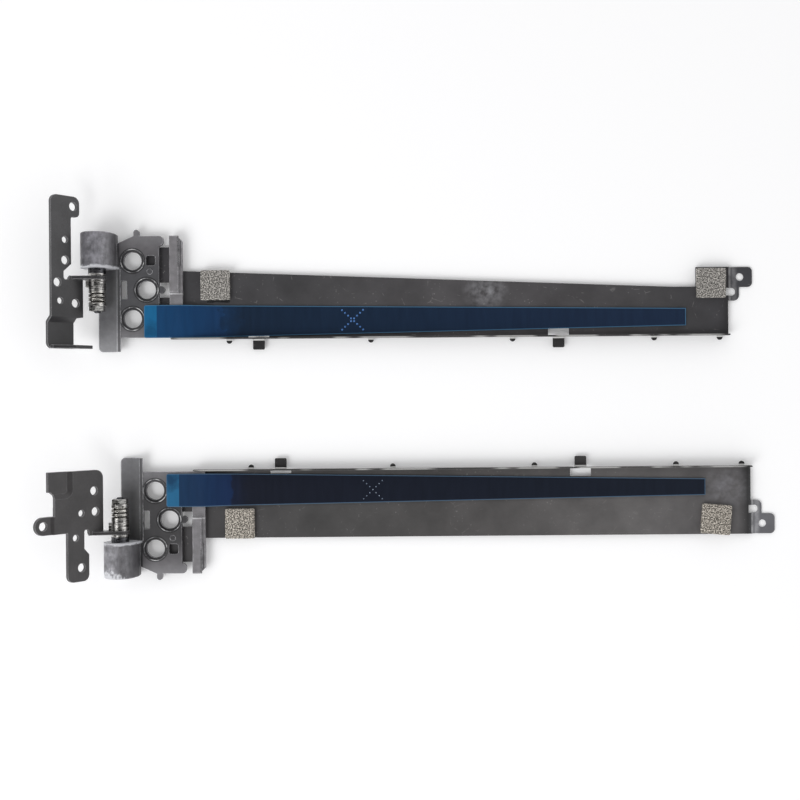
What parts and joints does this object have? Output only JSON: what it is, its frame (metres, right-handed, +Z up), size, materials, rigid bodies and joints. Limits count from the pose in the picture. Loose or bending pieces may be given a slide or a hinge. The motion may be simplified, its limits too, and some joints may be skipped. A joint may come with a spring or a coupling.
{
  "type": "laptop display hinge pair",
  "caption": "Right and left laptop lid hinges with friction springs on the shaft, cast lid brackets, folded base brackets and long display arms.",
  "frame": {"origin": "on the table, in the middle of the box round both hinges", "axes": "+X along the arms, away from the hinge shafts; +Y from the left hinge to the right one, along the shafts; +Z up from the table, towards the display panel"},
  "size_m": [0.2582, 0.136, 0.0267],
  "materials": {
    "black_steel": "satin black e-coat on steel sheet",
    "zinc_casting": "dark grey blackened zinc casting, worn light on the barrel",
    "dark_steel": "blackened turned steel",
    "washer_steel": "oiled ground steel",
    "spring_steel": "oiled spring steel with a bronze cast",
    "nut_steel": "plain zinc-plated steel",
    "arm_steel": "dark grey coated steel sheet, speckled with dust and scratches",
    "gasket_foam": "grey conductive fabric over foam",
    "adhesive": "black stretch adhesive",
    "liner_film": "dark blue release film"
  },
  "bodies": {
    "lid_side": {"right_lid_bracket": "zinc_casting", "right_shaft": "dark_steel", "right_thrust_washer": "washer_steel", "right_keyed_washer": "washer_steel", "right_disc_spring_1": "spring_steel", "right_disc_spring_2": "spring_steel", "right_disc_spring_3": "spring_steel", "right_disc_spring_4": "spring_steel", "right_disc_spring_5": "spring_steel", "right_disc_spring_6": "spring_steel", "right_end_washer": "washer_steel", "right_nut": "nut_steel", "right_arm": "arm_steel", "right_root_gasket": "gasket_foam", "right_end_gasket": "gasket_foam", "right_adhesive_strip": "adhesive", "right_release_liner": "liner_film", "left_lid_bracket": "zinc_casting", "left_shaft": "dark_steel", "left_thrust_washer": "washer_steel", "left_keyed_washer": "washer_steel", "left_disc_spring_1": "spring_steel", "left_disc_spring_2": "spring_steel", "left_disc_spring_3": "spring_steel", "left_disc_spring_4": "spring_steel", "left_disc_spring_5": "spring_steel", "left_disc_spring_6": "spring_steel", "left_end_washer": "washer_steel", "left_nut": "nut_steel", "left_arm": "arm_steel", "left_root_gasket": "gasket_foam", "left_end_gasket": "gasket_foam", "left_adhesive_strip": "adhesive", "left_release_liner": "liner_film"},
    "right_leaf": {"right_base_bracket": "black_steel", "right_lug_washer": "washer_steel"},
    "left_leaf": {"left_base_bracket": "black_steel", "left_lug_washer": "washer_steel"}
  },
  "joints": [
    {"name": "right_hinge", "type": "hinge", "parent": "lid_side", "child": "right_leaf", "pos_m": [-0.11231, 0.04305, 0.006], "axis": [0, 1, 0], "range_deg": [-50, 130]},
    {"name": "left_hinge", "type": "hinge", "parent": "lid_side", "child": "left_leaf", "pos_m": [-0.10481, -0.05395, 0.006], "axis": [0, 1, 0], "range_deg": [-50, 130]}
  ]
}
